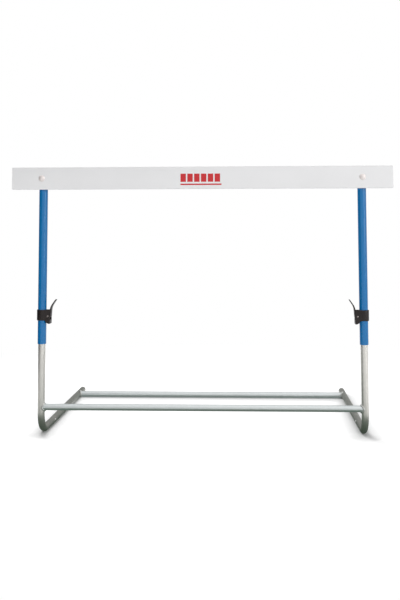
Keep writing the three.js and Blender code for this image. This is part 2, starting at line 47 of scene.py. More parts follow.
# Camera
# The hurdle was photographed from 2.7 m in front of its board, with the camera two thirds of a metre above
# the floor, a little right of the middle and tipped up slightly. The picture's optical centre lies above
# its middle, so the lens is shifted.
IMAGE_WIDTH = 400
IMAGE_HEIGHT = 600
FOCAL_LENGTH_PIXELS = 859
OPTICAL_CENTRE_PIXELS = (211.0, 159.1)
CAMERA_PLACE = Vector((0.1466, -3.0485, 0.6589))
CAMERA_TURN = 0.0426
CAMERA_TIP = 0.075
CAMERA_ROLL = -0.0029
SENSOR_WIDTH_MM = 36

lens = bpy.data.cameras.new("camera")
lens.sensor_width = SENSOR_WIDTH_MM
lens.lens = FOCAL_LENGTH_PIXELS * SENSOR_WIDTH_MM / IMAGE_HEIGHT
lens.shift_x = (IMAGE_WIDTH / 2 - OPTICAL_CENTRE_PIXELS[0]) / IMAGE_HEIGHT
lens.shift_y = (OPTICAL_CENTRE_PIXELS[1] - IMAGE_HEIGHT / 2) / IMAGE_HEIGHT
camera = bpy.data.objects.new("camera", lens)
turn = Matrix.Rotation(CAMERA_TURN, 4, "Z")
tip = Matrix.Rotation(pi / 2 + CAMERA_TIP, 4, "X")
roll = Matrix.Rotation(CAMERA_ROLL, 4, "Z")
camera.matrix_world = Matrix.Translation(CAMERA_PLACE) @ turn @ tip @ roll
scene.collection.objects.link(camera)
scene.camera = camera


# Studio floor and backdrop
# White seamless paper. It shows plain white to the eye and in the metal and keeps the soft shadow under
# the hurdle. Just in front of a tube that lies on it, an occlusion mask leaning in from the rear darkens its
# glow: a painted shadow. Away from the hurdle it fades into the white backdrop, and neither glow nor white
# lights the object.
def srgb(code):
    """An sRGB hex colour as a linear one with full alpha."""
    parts = [int(code[i:i + 2], 16) / 255 for i in (0, 2, 4)]
    return tuple(p / 12.92 if p <= 0.04045 else ((p + 0.055) / 1.055) ** 2.4 for p in parts) + (1.0,)


def add_node(tree, kind, inputs=None, **settings):
    """Adds a node with its settings. An input is a value, or the output that is linked to it."""
    made = tree.nodes.new(kind)
    for name, value in settings.items():
        setattr(made, name, value)
    for name, value in (inputs or {}).items():
        if isinstance(value, bpy.types.NodeSocket):
            tree.links.new(value, made.inputs[name])
        else:
            made.inputs[name].default_value = value
    return made


def add_math(tree, operation, first, second=0.0):
    return add_node(tree, "ShaderNodeMath", {0: first, 1: second}, operation=operation).outputs[0]


def seen_directly(tree):
    """1 for what the camera, a reflection or a view through glass sees, and 0 for light on the object."""
    path = add_node(tree, "ShaderNodeLightPath")
    mirrored = add_math(tree, "MAXIMUM", path.outputs["Is Glossy Ray"], path.outputs["Is Transmission Ray"])
    return add_math(tree, "MAXIMUM", path.outputs["Is Camera Ray"], mirrored)


WHITE = srgb("ffffff")
PAPER_COLOUR = srgb("ececec")
PAPER_LIFT = 0.42
CONTACT_REACH = 0.06
CONTACT_DEPTH = 7.0
CONTACT_LEAN = Vector((-0.06, 0.86, 0.5)).normalized()
CONTACT_SAMPLES = 16
PAPER_SIZE = 40.0
PAPER_NEAR = 0.8
PAPER_FAR = 1.7
SKY_LIGHT = 0.44

paper = bpy.data.materials.new("seamless_paper")
paper.use_nodes = True
tree = paper.node_tree
tree.nodes.clear()
matte = add_node(tree, "ShaderNodeBsdfDiffuse", {"Color": PAPER_COLOUR})
seen = seen_directly(tree)
# Painted shadow: occlusion leaning to the rear darkens the glow just in front of a nearby tube.
lean = add_node(tree, "ShaderNodeCombineXYZ", {0: CONTACT_LEAN.x, 1: CONTACT_LEAN.y, 2: CONTACT_LEAN.z})
nearby = {"Distance": CONTACT_REACH, "Normal": lean.outputs[0]}
openness = add_node(tree, "ShaderNodeAmbientOcclusion", nearby, samples=CONTACT_SAMPLES).outputs["AO"]
glow = add_math(tree, "MULTIPLY", add_math(tree, "POWER", openness, CONTACT_DEPTH), PAPER_LIFT)
lift = add_node(tree, "ShaderNodeEmission", {"Strength": add_math(tree, "MULTIPLY", seen, glow)})
near = add_node(tree, "ShaderNodeAddShader", {0: matte.outputs[0], 1: lift.outputs[0]})
white = add_node(tree, "ShaderNodeEmission", {"Strength": 1.0})
place = add_node(tree, "ShaderNodeTexCoord").outputs["Object"]
distance = add_node(tree, "ShaderNodeVectorMath", {0: place}, operation="LENGTH").outputs["Value"]
span = {0: distance, 1: PAPER_NEAR, 2: PAPER_FAR}
fade = add_node(tree, "ShaderNodeMapRange", span, interpolation_type="SMOOTHSTEP")
share = add_math(tree, "MULTIPLY", fade.outputs[0], seen)
both = add_node(tree, "ShaderNodeMixShader", {0: share, 1: near.outputs[0], 2: white.outputs[0]})
add_node(tree, "ShaderNodeOutputMaterial", {"Surface": both.outputs[0]})

bm = bmesh.new()
bmesh.ops.create_grid(bm, x_segments=1, y_segments=1, size=PAPER_SIZE / 2)
floor_mesh = bpy.data.meshes.new("floor")
bm.to_mesh(floor_mesh)
bm.free()
floor_mesh.materials.append(paper)
floor = bpy.data.objects.new("floor", floor_mesh)
scene.collection.objects.link(floor)

world = bpy.data.worlds.new("studio")
scene.world = world
world.use_nodes = True
tree = world.node_tree
tree.nodes.clear()
soft = add_node(tree, "ShaderNodeBackground", {"Color": WHITE, "Strength": SKY_LIGHT})
plain = add_node(tree, "ShaderNodeBackground", {"Color": WHITE, "Strength": 1.0})
seen = seen_directly(tree)
both = add_node(tree, "ShaderNodeMixShader", {0: seen, 1: soft.outputs[0], 2: plain.outputs[0]})
add_node(tree, "ShaderNodeOutputWorld", {"Surface": both.outputs[0]})

# Lamps
# A large fill light stands right of the camera behind a polariser, so the tubes don't mirror it. A narrow
# strip at the right only draws a light band down each upright. A soft light hangs high at the rear left.
# Cards that only reflections see stand round the set and lie under the hurdle, and give the metal its
# darker edges.
HURDLE_MIDDLE = Vector((0.0, -0.2, 0.45))
FLOOR_CARD_LEVEL = 0.0006


def soft_box(name, place, width, height, power, mirrored=False):
    light = bpy.data.lights.new(name, "AREA")
    light.shape = "RECTANGLE"
    light.size = width
    light.size_y = height
    light.energy = power
    lamp = bpy.data.objects.new(name, light)
    lamp.location = place
    lamp.rotation_euler = (HURDLE_MIDDLE - Vector(place)).to_track_quat("-Z", "Y").to_euler()
    lamp.visible_glossy = mirrored
    lamp.visible_diffuse = not mirrored
    scene.collection.objects.link(lamp)


soft_box("fill_light", place=(4.4, -8.6, 2.6), width=5.8, height=5.8, power=470)
soft_box("band_light", place=(3.3, -2.3, 1.5), width=1.0, height=2.4, power=28, mirrored=True)
soft_box("top_light", place=(-1.2, 1.6, 2.7), width=1.8, height=1.8, power=60)


def reflected_card(name, place, width, height, facing, shade, fade=0.0):
    """A card that faces a direction and is seen only in reflections. Its front may fade in from white."""
    material = bpy.data.materials.new(name + "_" + shade)
    material.use_nodes = True
    tree = material.node_tree
    tree.nodes.clear()
    glow = add_node(tree, "ShaderNodeEmission", {"Color": srgb(shade)})
    if fade:
        front = place[1] - height / 2
        point = add_node(tree, "ShaderNodeTexCoord").outputs["Object"]
        depth = add_node(tree, "ShaderNodeSeparateXYZ", {"Vector": point}).outputs["Y"]
        share = add_node(tree, "ShaderNodeMapRange", {0: depth, 1: front, 2: front + fade})
        clear = add_node(tree, "ShaderNodeEmission", {"Color": WHITE})
        blend = {0: share.outputs[0], 1: clear.outputs[0], 2: glow.outputs[0]}
        glow = add_node(tree, "ShaderNodeMixShader", blend)
    add_node(tree, "ShaderNodeOutputMaterial", {"Surface": glow.outputs[0]})
    bm = bmesh.new()
    bmesh.ops.create_grid(bm, x_segments=1, y_segments=1, size=1 / 2)
    bmesh.ops.scale(bm, vec=(width, height, 1), verts=bm.verts)
    turned_to = Vector(facing).to_track_quat("Z", "Y").to_matrix().to_4x4()
    bmesh.ops.transform(bm, matrix=Matrix.Translation(place) @ turned_to, verts=bm.verts)
    mesh = bpy.data.meshes.new(name)
    bm.to_mesh(mesh)
    bm.free()
    mesh.materials.append(material)
    card = bpy.data.objects.new(name, mesh)
    for kind in ("camera", "diffuse", "transmission", "volume_scatter", "shadow"):
        setattr(card, "visible_" + kind, False)
    scene.collection.objects.link(card)


reflected_card(
    "left_card", place=(-1.3, -0.5, 0.7), width=2.6, height=1.8, facing=(1, 0, 0), shade="363636"
)
reflected_card(
    "right_card", place=(4.0, -0.9, 1.0), width=7.6, height=3.0, facing=(-1, 0, 0), shade="dcdcdc"
)
reflected_card(
    "rear_card", place=(0.0, 3.6, 2.2), width=8.0, height=4.4, facing=(0, -1, 0), shade="a0a0a0"
)
reflected_card(
    "front_card", place=(0.4, -5.2, 1.6), width=8.0, height=4.0, facing=(0, 1, 0), shade="e2e2e2"
)
# The two floor cards are a painted reflection of shade: the tubes mirror them as the shaded floor under the
# hurdle.
reflected_card(
    "floor_card", place=(0.0, -0.4, FLOOR_CARD_LEVEL), width=1.5, height=1.0, facing=(0, 0, 1),
    shade="667268", fade=0.5,
)
reflected_card(
    "rear_floor_card", place=(0.0, 0.266, FLOOR_CARD_LEVEL), width=0.98, height=0.05, facing=(0, 0, 1),
    shade="868e8a",
)


# Base tubes
# Two steel tubes, each bent at the floor from an upright into a long foot. They are galvanised: a bright,
# satin zinc skin with a faint spangle. Towards the floor it turns darker, greener and duller: painted shade.
NOISE_LOW = 0.3
NOISE_HIGH = 0.7


def new_material(name, **constants):
    """A material with its constant sockets set, and the place on the object that its patterns follow."""
    material = bpy.data.materials.new(name)
    material.use_nodes = True
    tree = material.node_tree
    shader = tree.nodes["Principled BSDF"]
    for socket, value in constants.items():
        shader.inputs[socket.replace("_", " ")].default_value = value
    place = add_node(tree, "ShaderNodeTexCoord").outputs["Object"]
    return material, tree, shader, place


def add_noise(tree, place, size, detail=3.0, stretch=(1, 1, 1)):
    """Soft noise with patches of about a size in metres, drawn out along the axes with a larger stretch."""
    scale = tuple(1 / (size * s) for s in stretch)
    spread = add_node(tree, "ShaderNodeMapping", {"Vector": place, "Scale": scale})
    inputs = {"Vector": spread.outputs[0], "Scale": 1.0, "Detail": detail}
    return add_node(tree, "ShaderNodeTexNoise", inputs).outputs["Fac"]


def add_mix(tree, factor, first, second):
    """Mixes two colours. Each is a linear colour or another node's output."""
    mix = add_node(tree, "ShaderNodeMix", data_type="RGBA")
    for index, value in ((0, factor), (6, first), (7, second)):
        if isinstance(value, bpy.types.NodeSocket):
            tree.links.new(value, mix.inputs[index])
        else:
            mix.inputs[index].default_value = value
    return mix.outputs[2]


def add_range(tree, value, low, high, to_low, to_high):
    """Maps a value from one range to another, clamped at both ends."""
    inputs = {0: value, 1: low, 2: high, 3: to_low, 4: to_high}
    return add_node(tree, "ShaderNodeMapRange", inputs).outputs[0]


def noise_to(tree, noise, low, high):
    """Spreads noise, which seldom leaves the middle of its range, over another range."""
    return add_range(tree, noise, NOISE_LOW, NOISE_HIGH, low, high)


def add_bump(tree, shader, height, depth):
    """Raises the surface by up to a depth in metres."""
    bump = add_node(tree, "ShaderNodeBump", {"Strength": 1.0, "Distance": depth, "Height": height})
    tree.links.new(bump.outputs[0], shader.inputs["Normal"])


ZINC_LIGHT = srgb("e6e4df")
ZINC_DARK = srgb("dad8d3")
ZINC_FLOOR_SHADE = srgb("80867e")
SPANGLE_SIZE = 0.007
SPANGLE_SHARE = 0.25
ZINC_CLOUD = 0.03
ZINC_SATIN_PATCH = 0.006
ZINC_SMOOTHEST = 0.4
ZINC_ROUGHEST = 0.48
ZINC_GRAIN = 0.0016
ZINC_GRAIN_DEPTH = 0.00003
FLOOR_SHADE_TOP = 0.077
FLOOR_SHADE_FULL = 0.008
FLOOR_SHADE_RAGGED = 0.006
FLOOR_SHADE_SHARE = 0.75
FLOOR_SHADE_DULLS = 0.12


def galvanised(name, light, dark, floor_shaded):
    material, tree, shader, place = new_material(name, Metallic=1.0)
    cell = add_node(tree, "ShaderNodeTexVoronoi", {"Vector": place, "Scale": 1 / SPANGLE_SIZE})
    shade = add_node(tree, "ShaderNodeSeparateColor", {"Color": cell.outputs["Color"]}).outputs[0]
    cloud = add_noise(tree, place, ZINC_CLOUD)
    spangle = add_math(tree, "MULTIPLY", shade, SPANGLE_SHARE)
    tone = add_math(tree, "ADD", spangle, add_math(tree, "MULTIPLY", cloud, 1 - SPANGLE_SHARE))
    colour = add_mix(tree, tone, dark, light)
    rough = noise_to(tree, add_noise(tree, place, ZINC_SATIN_PATCH), ZINC_SMOOTHEST, ZINC_ROUGHEST)
    # Painted shade: the zinc grows darker, greener and duller towards the floor, where the tube meets it.
    if floor_shaded:
        height = add_node(tree, "ShaderNodeSeparateXYZ", {"Vector": place}).outputs["Z"]
        ragged = add_math(tree, "ADD", height, noise_to(tree, cloud, -FLOOR_SHADE_RAGGED, FLOOR_SHADE_RAGGED))
        floor_shade = add_range(tree, ragged, FLOOR_SHADE_TOP, FLOOR_SHADE_FULL, 0.0, FLOOR_SHADE_SHARE)
        colour = add_mix(tree, floor_shade, colour, ZINC_FLOOR_SHADE)
        rough = add_math(tree, "ADD", rough, add_math(tree, "MULTIPLY", floor_shade, FLOOR_SHADE_DULLS))
    tree.links.new(colour, shader.inputs["Base Color"])
    tree.links.new(rough, shader.inputs["Roughness"])
    add_bump(tree, shader, add_noise(tree, place, ZINC_GRAIN), ZINC_GRAIN_DEPTH)
    return material


def ring_of_edges(verts):
    """The edges that join these vertices."""
    inside = set(verts)
    return [e for e in {e for v in verts for e in v.link_edges} if set(e.verts) <= inside]


def run_on(bm, edges, step):
    """Extends a tube from its last ring by a step, and returns the new last ring."""
    made = bmesh.ops.extrude_edge_only(bm, edges=edges)["geom"]
    verts = [g for g in made if isinstance(g, bmesh.types.BMVert)]
    bmesh.ops.translate(bm, vec=step, verts=verts)
    return [g for g in made if isinstance(g, bmesh.types.BMEdge) and set(g.verts) <= set(verts)]


def give_wall(bm, wall):
    """Gives an open skin a wall that lies inside it."""
    bmesh.ops.recalc_face_normals(bm, faces=bm.faces)
    bmesh.ops.solidify(bm, geom=bm.faces[:], thickness=wall)


def add_piece(name, bm, body, stands_for, material, crease=35):
    """Makes an object of a finished shape, smooth but for edges that are sharper than the crease angle."""
    mesh = bpy.data.meshes.new(name)
    bm.to_mesh(mesh)
    bm.free()
    mesh.shade_smooth()
    mesh.set_sharp_from_angle(angle=radians(crease))
    mesh.materials.append(material)
    piece = bpy.data.objects.new(name, mesh)
    scene.collection.objects.link(piece)
    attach(piece, body)
    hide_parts(stands_for)


def add_pair(name, shape, body, node, material, crease=35):
    """Makes the left piece and its mirror image on the right. {} in the body stands for the side."""
    for side in ("left", "right"):
        bm = shape()
        if side == "right":
            bmesh.ops.scale(bm, vec=(-1, 1, 1), verts=bm.verts)
            bmesh.ops.reverse_faces(bm, faces=bm.faces)
        add_piece(side + "_" + name, bm, body.format(side), side + "_" + node, material, crease)


TUBE_SIDES = 64
BEND_STEPS = 24
BASE_WALL = 0.0015
BEND_RADIUS = 0.060

base_low, base_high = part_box("left_base_tube")
base_radius = (base_high.x - base_low.x) / 2
upright_x = (base_low.x + base_high.x) / 2
upright_y = base_low.y + base_radius
base_top = base_high.z
bend_top = base_radius + BEND_RADIUS


def base_tube_shape():
    bm = bmesh.new()
    at_top = Matrix.Translation((upright_x, upright_y, base_top))
    top = bmesh.ops.create_circle(bm, segments=TUBE_SIDES, radius=base_radius, matrix=at_top)["verts"]
    edges = run_on(bm, ring_of_edges(top), Vector((0, 0, bend_top - base_top)))
    verts = list({v for e in edges for v in e.verts})
    centre = Vector((upright_x, upright_y + BEND_RADIUS, bend_top))
    bent = bmesh.ops.spin(
        bm, geom=verts + edges, cent=centre, axis=(1, 0, 0), angle=pi / 2, steps=BEND_STEPS, use_merge=False
    )["geom_last"]
    edges = [g for g in bent if isinstance(g, bmesh.types.BMEdge)]
    run_on(bm, edges, Vector((0, base_high.y - upright_y - BEND_RADIUS, 0)))
    give_wall(bm, BASE_WALL)
    return bm


floor_shaded_zinc = galvanised("galvanised_steel_floor_shaded", ZINC_LIGHT, ZINC_DARK, floor_shaded=True)
add_pair("base_tube_skin", base_tube_shape, "base", "base_tube", floor_shaded_zinc)

# Cross tubes
# Two straight galvanised tubes that tie the sides together. Each end is cut to a fish mouth, so that it fits
# the round of the base tube it is welded to.
CROSS_WALL = 0.0015
CROSS_ZINC_LIGHT = srgb("e6ebeb")
CROSS_ZINC_DARK = srgb("dce1e1")

unshaded_zinc = galvanised("galvanised_steel", CROSS_ZINC_LIGHT, CROSS_ZINC_DARK, floor_shaded=False)


def cope(verts, across):
    """Moves the vertices at each end of a cross tube onto the skin of the base tube there."""
    for v in verts:
        side = 1 if v.co.x > 0 else -1
        v.co.x = side * (abs(upright_x) - sqrt(base_radius ** 2 - across(v.co) ** 2))


def cross_tube_shape(node, across):
    low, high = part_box(node)
    middle = (low + high) / 2
    radius = (high.z - low.z) / 2
    bm = bmesh.new()
    placed = Matrix.Translation((upright_x, middle.y, middle.z)) @ Matrix.Rotation(pi / 2, 4, "Y")
    end = bmesh.ops.create_circle(bm, segments=TUBE_SIDES, radius=radius, matrix=placed)["verts"]
    run_on(bm, ring_of_edges(end), Vector((-2 * upright_x, 0, 0)))
    cope(bm.verts, across)
    give_wall(bm, CROSS_WALL)
    return bm


front_cross = cross_tube_shape("front_cross_tube", lambda place: place.y - upright_y)
add_piece("front_cross_skin", front_cross, "base", "front_cross_tube", unshaded_zinc)
rear_cross = cross_tube_shape("rear_cross_tube", lambda place: place.z - base_radius)
add_piece("rear_cross_skin", rear_cross, "base", "rear_cross_tube", unshaded_zinc)

# Weld beads
# One bead of weld runs round each end of a cross tube. It is drawn in short steps, which leave fine ripples,
# and zinc spray covers it.
BEAD_RADIUS = 0.003
BEAD_STEPS = 168
BEAD_SIDES = 14
RIPPLES = 28
RIPPLE_SHARE = 0.07
FLOOR_CLEARANCE = 0.0008
WELD_LIGHT = srgb("e0e1de")
WELD_DARK = srgb("cfd0cd")


def clouded_metal(name, light, dark, patch, smoothest, roughest, grain, depth, metallic=1.0):
    """Metal with soft patches of two shades, which differ in gloss too, and a fine grain."""
    material, tree, shader, place = new_material(name, Metallic=metallic)
    cloud = add_noise(tree, place, patch)
    tree.links.new(add_mix(tree, cloud, dark, light), shader.inputs["Base Color"])
    tree.links.new(noise_to(tree, cloud, smoothest, roughest), shader.inputs["Roughness"])
    add_bump(tree, shader, add_noise(tree, place, grain), depth)
    return material


weld_zinc = clouded_metal(
    "zinc_sprayed_weld", WELD_LIGHT, WELD_DARK, patch=0.003, smoothest=0.4, roughest=0.55, grain=0.0012,
    depth=0.00004,
)


def weld_shape(cross_node, across_height):
    """A rippled bead round the left end of a cross tube, in the corner between it and the base tube."""
    low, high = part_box(cross_node)
    middle = (low + high) / 2
    ring_radius = (high.z - low.z) / 2 + BEAD_RADIUS / 4
    seat_radius = base_radius + BEAD_RADIUS / 4
    axis = Vector((1, 0, 0))
    centre = Vector((0, middle.y, middle.z))
    bm = bmesh.new()
    top = centre + Vector((0, 0, ring_radius))
    upright = Matrix.Translation(top) @ Matrix.Rotation(pi / 2, 4, "X")
    section = bmesh.ops.create_circle(bm, segments=BEAD_SIDES, radius=BEAD_RADIUS, matrix=upright)["verts"]
    edges = ring_of_edges(section)
    bmesh.ops.spin(
        bm, geom=section + edges, cent=centre, axis=axis, angle=2 * pi, steps=BEAD_STEPS, use_merge=True
    )
    for v in bm.verts:
        angle = atan2(v.co.z - middle.z, v.co.y - middle.y)
        core = centre + ring_radius * Vector((0, cos(angle), sin(angle)))
        swell = 1 + RIPPLE_SHARE * cos(RIPPLES * angle)
        v.co = core + (v.co - core) * swell
        across = ring_radius * (sin(angle) if across_height else cos(angle))
        v.co.x += upright_x + sqrt(seat_radius ** 2 - across ** 2)
        v.co.z = max(v.co.z, FLOOR_CLEARANCE)
    bmesh.ops.recalc_face_normals(bm, faces=bm.faces)
    return bm


def front_weld_shape():
    return weld_shape("front_cross_tube", across_height=False)


def rear_weld_shape():
    return weld_shape("rear_cross_tube", across_height=True)


add_pair("front_weld_bead", front_weld_shape, "base", "front_weld", weld_zinc)
add_pair("rear_weld_bead", rear_weld_shape, "base", "rear_weld", weld_zinc)

# Foot plugs
# A moulded polyethylene plug closes the rear end of each foot. Its head has the tube's own diameter, a
# rolled edge and a low dome, and the plastic is dull with fine mould texture.
PLUG_LIGHT = srgb("45463f")
PLUG_DARK = srgb("35362f")
PLUG_STEM_INSET = 0.0018
PLUG_EDGE = 0.0009
SEAT_LIFT = 0.0001
TURN_STEPS = 48
DOME_STEPS = 8
MERGE_DISTANCE = 1e-6
PLASTIC_CLOUD = 0.02
PLASTIC_SMOOTHER = 0.05
PLASTIC_ROUGHER = 0.06
PLASTIC_GRAIN_DEPTH = 0.00006


def turned(bm, outline, centre, axis, steps=TURN_STEPS):
    """Spins an outline of (radius, distance along the axis) points round an axis."""
    along = Vector(axis)
    out = along.orthogonal().normalized()
    verts = [bm.verts.new(centre + out * radius + along * reach) for radius, reach in outline]
    edges = [bm.edges.new(pair) for pair in zip(verts, verts[1:])]
    bmesh.ops.spin(
        bm, geom=verts + edges, cent=centre, axis=along, angle=2 * pi, steps=steps, use_merge=True
    )
    bmesh.ops.remove_doubles(bm, verts=bm.verts, dist=MERGE_DISTANCE)
    bmesh.ops.recalc_face_normals(bm, faces=bm.faces)


def dome(rim, height, foot):
    """Points of a low dome from its rim to its top, as (radius, distance along the axis)."""
    ball = (rim ** 2 + height ** 2) / (2 * height)
    widest = atan2(rim, ball - height)
    angles = [widest * (1 - i / DOME_STEPS) for i in range(DOME_STEPS)]
    points = [(ball * sin(a), foot + ball * cos(a) - ball + height) for a in angles]
    return points + [(0.0, foot + height)]


def moulded_plastic(name, light, dark, rough, grain_size, **constants):
    """A moulded part's even colour with slight clouding, and the fine grain of an etched mould."""
    material, tree, shader, place = new_material(name, **constants)
    colour = add_mix(tree, add_noise(tree, place, PLASTIC_CLOUD), dark, light)
    tree.links.new(colour, shader.inputs["Base Color"])
    grain = add_noise(tree, place, grain_size, detail=2.0)
    gloss = noise_to(tree, grain, rough - PLASTIC_SMOOTHER, rough + PLASTIC_ROUGHER)
    tree.links.new(gloss, shader.inputs["Roughness"])
    add_bump(tree, shader, grain, PLASTIC_GRAIN_DEPTH)
    return material


plug_low, plug_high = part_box("left_foot_plug")


def foot_plug_shape():
    bm = bmesh.new()
    stem = base_radius - PLUG_STEM_INSET
    seat = base_high.y + SEAT_LIFT
    outline = [(0, plug_low.y), (stem, plug_low.y), (stem, seat), (base_radius, seat)]
    outline += dome(base_radius, plug_high.y - seat - PLUG_EDGE, seat + PLUG_EDGE)
    turned(bm, outline, Vector((upright_x, 0, base_radius)), (0, 1, 0))
    return bm


plug_plastic = moulded_plastic("polyethylene_plug", PLUG_LIGHT, PLUG_DARK, rough=0.55, grain_size=0.0012)
add_pair("foot_plug_cap", foot_plug_shape, "base", "foot_plug", plug_plastic)

# Foot rivets
# A blind rivet sits in each foot, on its inner side. It has a low flanged head with the broken end of its
# mandrel in the middle. Its aluminium is coloured near white: a painted highlight that keeps it a bright
# dot.
RIVET_RISE = 20
RIVET_SETBACK = 0.160
RIVET_HEAD_RADIUS = 0.00325
RIVET_HEAD_HEIGHT = 0.0016
RIVET_HOLE_RADIUS = 0.0011
RIVET_HOLE_DEPTH = 0.0007
RIVET_SINK = 0.0002
SMALL_TURN_STEPS = 32
RIVET_HIGHLIGHT_LIGHT = srgb("fbfbfa")
RIVET_HIGHLIGHT_DARK = srgb("f0f0ee")
FINE_GRAIN = 0.0008
FINE_GRAIN_DEPTH = 0.00002


def foot_rivet_shape():
    bm = bmesh.new()
    rise = radians(RIVET_RISE)
    axis = Vector((cos(rise), 0, sin(rise)))
    centre = Vector((upright_x, upright_y + RIVET_SETBACK, base_radius))
    seat = base_radius - RIVET_SINK
    head = dome(RIVET_HEAD_RADIUS, RIVET_HEAD_HEIGHT, seat)
    rim = [point for point in head if point[0] > RIVET_HOLE_RADIUS]
    bottom = rim[-1][1] - RIVET_HOLE_DEPTH
    hole = [(RIVET_HOLE_RADIUS, rim[-1][1]), (RIVET_HOLE_RADIUS, bottom), (0, bottom)]
    turned(bm, [(0, seat), *rim, *hole], centre, axis, steps=SMALL_TURN_STEPS)
    return bm


# Painted highlight: the rivet head's near-white colour makes it show as a bright dot.
highlight_aluminium = clouded_metal(
    "aluminium_painted_highlight", RIVET_HIGHLIGHT_LIGHT, RIVET_HIGHLIGHT_DARK, patch=0.002, smoothest=0.5, roughest=0.6,
    grain=FINE_GRAIN, depth=FINE_GRAIN_DEPTH, metallic=0.1,
)
add_pair("foot_rivet_head", foot_rivet_shape, "base", "foot_rivet", highlight_aluminium)

# Guide bushes
# A turned nylon bush on the top of each base tube runs inside the blue tube. It is out of sight at every
# height, so the construction's own solid stays.
NYLON_LIGHT = srgb("dedacc")
NYLON_DARK = srgb("cfcab9")

natural_nylon = moulded_plastic("turned_nylon", NYLON_LIGHT, NYLON_DARK, rough=0.45, grain_size=0.001)
for side in ("left", "right"):
    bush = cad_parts[side + "_guide_bush"]
    bush.data.materials.clear()
    bush.data.materials.append(natural_nylon)

# Upright tubes
# The outer tubes slide on the base tubes and carry the board. They are steel with a royal blue powder
# coat, which has the faint orange peel of sprayed enamel. Inside the clamp a window lets the brake shoe
# through.
UPRIGHT_WALL = 0.0018
WINDOW_GAP = 0.0004
BLUE_LIGHT = srgb("0372b2")
BLUE_DARK = srgb("026aa6")
BLUE_CLOUD = 0.05
ENAMEL_GLOSS_PATCH = 0.01
ENAMEL_SMOOTHEST = 0.14
ENAMEL_ROUGHEST = 0.2
ENAMEL_PEEL = 0.0022
ENAMEL_PEEL_DEPTH = 0.000012

blue_enamel, tree, shader, place = new_material("blue_powder_coat", Specular_IOR_Level=0.55)
cloud = add_noise(tree, place, BLUE_CLOUD)
tree.links.new(add_mix(tree, cloud, BLUE_DARK, BLUE_LIGHT), shader.inputs["Base Color"])
gloss = noise_to(tree, add_noise(tree, place, ENAMEL_GLOSS_PATCH), ENAMEL_SMOOTHEST, ENAMEL_ROUGHEST)
tree.links.new(gloss, shader.inputs["Roughness"])
add_bump(tree, shader, add_noise(tree, place, ENAMEL_PEEL, detail=1.0), ENAMEL_PEEL_DEPTH)

outer_low, outer_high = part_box("left_upright_tube")
outer_radius = (outer_high.x - outer_low.x) / 2
shoe_low, shoe_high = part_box("left_brake_shoe")


def cut_window(bm, low_y, high_y, low_z, high_z):
    """Opens a square window through the side of a tube that faces the middle of the hurdle."""
    for place, normal in (
        ((0, low_y, 0), (0, 1, 0)),
        ((0, high_y, 0), (0, 1, 0)),
        ((0, 0, low_z), (0, 0, 1)),
        ((0, 0, high_z), (0, 0, 1)),
    ):
        everything = bm.verts[:] + bm.edges[:] + bm.faces[:]
        bmesh.ops.bisect_plane(bm, geom=everything, dist=MERGE_DISTANCE, plane_co=place, plane_no=normal)
    inside = []
    for face in bm.faces:
        middle = face.calc_center_median()
        faces_in = middle.x > upright_x
        if faces_in and low_y < middle.y < high_y and low_z < middle.z < high_z:
            inside.append(face)
    bmesh.ops.delete(bm, geom=inside, context="FACES")


def upright_tube_shape():
    bm = bmesh.new()
    at_top = Matrix.Translation((upright_x, upright_y, outer_high.z))
    top = bmesh.ops.create_circle(bm, segments=TUBE_SIDES, radius=outer_radius, matrix=at_top)["verts"]
    run_on(bm, ring_of_edges(top), Vector((0, 0, outer_low.z - outer_high.z)))
    cut_window(
        bm, shoe_low.y - WINDOW_GAP, shoe_high.y + WINDOW_GAP,
        shoe_low.z - WINDOW_GAP, shoe_high.z + WINDOW_GAP,
    )
    give_wall(bm, UPRIGHT_WALL)
    return bm


add_pair("upright_tube_skin", upright_tube_shape, "upper", "upright_tube", blue_enamel)

# Top caps
# A black nylon cap closes the top of each blue tube behind the board. It is moulded, with a low dome and a
# stem that is pressed into the tube.
CAP_STEM_INSET = 0.0021
CAP_EDGE = 0.0006
BLACK_LIGHT = srgb("231b19")
BLACK_DARK = srgb("1a1514")

black_nylon = moulded_plastic(
    "moulded_black_nylon", BLACK_LIGHT, BLACK_DARK, rough=0.42, grain_size=0.0009, Specular_IOR_Level=0.35
)
cap_low, cap_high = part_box("left_top_cap")


def top_cap_shape():
    bm = bmesh.new()
    stem = outer_radius - CAP_STEM_INSET
    seat = outer_high.z + SEAT_LIFT
    outline = [(0, cap_low.z), (stem, cap_low.z), (stem, seat), (outer_radius, seat)]
    outline += dome(outer_radius, cap_high.z - seat - CAP_EDGE, seat + CAP_EDGE)
    turned(bm, outline, Vector((upright_x, upright_y, 0)), (0, 0, 1))
    return bm


add_pair("top_cap_dome", top_cap_shape, "upper", "top_cap", black_nylon)

# Board
# The crossbar is one extruded PVC lath with slightly rounded corners and edges. It is a matt, cool white,
# with faint lengthwise lines from the die. A plain red mark is printed in the middle of its face.
BOARD_CORNER = 0.003
BOARD_EDGE = 0.0012
BOARD_LIGHT = srgb("e9e9ea")
BOARD_DARK = srgb("e3e3e4")
MARK_RED = srgb("c4242b")
MARK_PITCH = 0.0215
MARK_BLOCKS = 6
MARK_BLOCK_SHARE = 0.8
MARK_LOW = 0.022
MARK_HIGH = 0.048
RULE_LOW = 0.012
RULE_HIGH = 0.0165
BOARD_CLOUD = 0.12
DIE_LINE_WIDTH = 0.0012
DIE_LINE_STRETCH = 200
DIE_LINE_DEPTH = 0.00004
BOARD_SMOOTHEST = 0.5
BOARD_ROUGHEST = 0.6

board_low, board_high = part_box("hurdle_board")
board_white, tree, shader, place = new_material("extruded_white_pvc")


def inside_band(tree, value, low, high):
    """1 where a value lies between two limits."""
    above = add_math(tree, "GREATER_THAN", value, low)
    below = add_math(tree, "LESS_THAN", value, high)
    return add_math(tree, "MULTIPLY", above, below)


